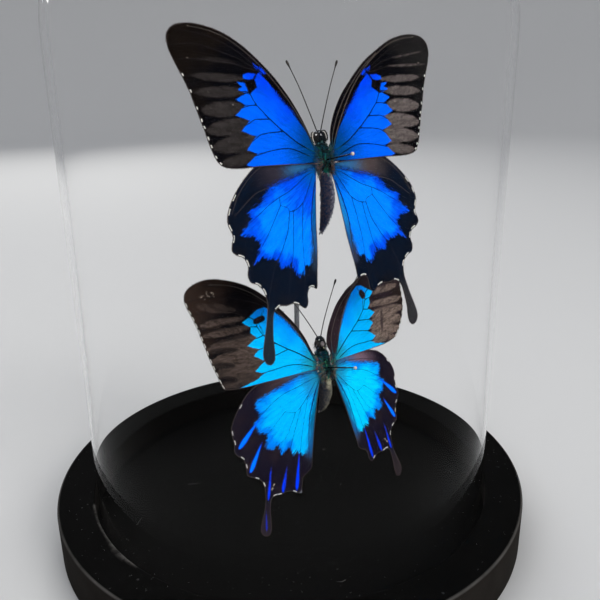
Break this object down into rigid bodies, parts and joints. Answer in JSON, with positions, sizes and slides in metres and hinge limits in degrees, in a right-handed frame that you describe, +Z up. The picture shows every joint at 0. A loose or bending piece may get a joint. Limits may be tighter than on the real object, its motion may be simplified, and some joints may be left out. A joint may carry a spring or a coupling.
{
  "type": "butterflies in a glass dome",
  "caption": "Blue swallowtail butterflies pinned one above the other to a thin upright rod, under a clear glass dome on a round black base with a raised rim.",
  "frame": {"origin": "centre of the base's flat underside", "axes": "+Z up along the base's and dome's axis; the butterflies' backs face the viewer at -Y and are turned about 35 degrees toward +X; +X is the viewer's right"},
  "size_m": [0.18, 0.18, 0.2533],
  "materials": {
    "black_base": "matte black paint with fine dust",
    "clear_glass": "clear and polished",
    "pale_rod": "satin, off-white",
    "upper_wings": "scaled wing: deep iridescent blue on velvety black, with smoky translucent patches",
    "lower_wings": "scaled wing: bright iridescent azure on black-brown, with beige-brown patches",
    "insect_body": "dark, hairy, with green scales on the back",
    "steel_pin": "bright, with a round head"
  },
  "bodies": {
    "root": {"base": "black_base", "glass_dome": "clear_glass", "support_rod": "pale_rod", "upper_forewing_left": "upper_wings", "upper_forewing_right": "upper_wings", "upper_hindwing_left": "upper_wings", "upper_hindwing_right": "upper_wings", "upper_body": "insect_body", "upper_antenna_left": "insect_body", "upper_antenna_right": "insect_body", "upper_pin": "steel_pin", "lower_forewing_left": "lower_wings", "lower_forewing_right": "lower_wings", "lower_hindwing_left": "lower_wings", "lower_hindwing_right": "lower_wings", "lower_body": "insect_body", "lower_antenna_left": "insect_body", "lower_antenna_right": "insect_body", "lower_pin": "steel_pin"}
  },
  "joints": []
}
